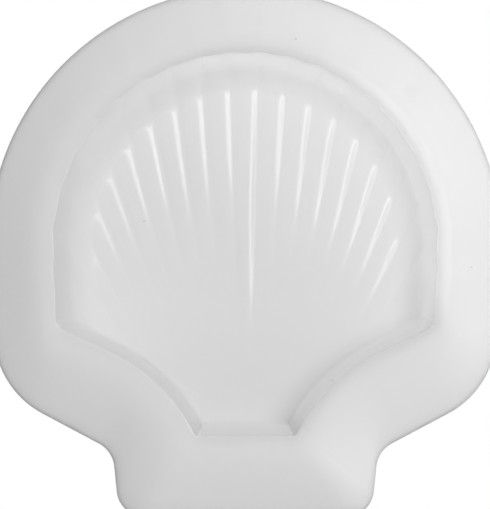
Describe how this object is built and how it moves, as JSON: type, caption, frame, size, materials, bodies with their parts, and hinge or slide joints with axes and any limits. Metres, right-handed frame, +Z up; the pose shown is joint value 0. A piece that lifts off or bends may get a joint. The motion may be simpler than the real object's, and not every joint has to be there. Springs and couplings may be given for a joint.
{
  "type": "sand mould",
  "caption": "Scallop shell sand mould: a fluted recess for wet sand in a wide domed border with two ears, a hinge tab and a turned-down outer wall.",
  "frame": {"origin": "under the middle of the outline, on the plane that the outer wall stands on", "axes": "+X across the shell to the right as seen from above, +Y from the hinge tab to the round edge, +Z up, out of the recess"},
  "size_m": [0.14, 0.1442, 0.024],
  "materials": {
    "border_plastic": "smooth semi-gloss moulded plastic, white and faintly translucent",
    "recess_plastic": "smooth semi-gloss moulded plastic, white and faintly translucent"
  },
  "bodies": {
    "root": {"border": "border_plastic", "outer_wall": "border_plastic", "fluted_wall": "recess_plastic", "fluted_floor": "recess_plastic", "shoulder_wall_left": "recess_plastic", "shoulder_wall_right": "recess_plastic", "hinge_wall": "recess_plastic"}
  },
  "joints": []
}
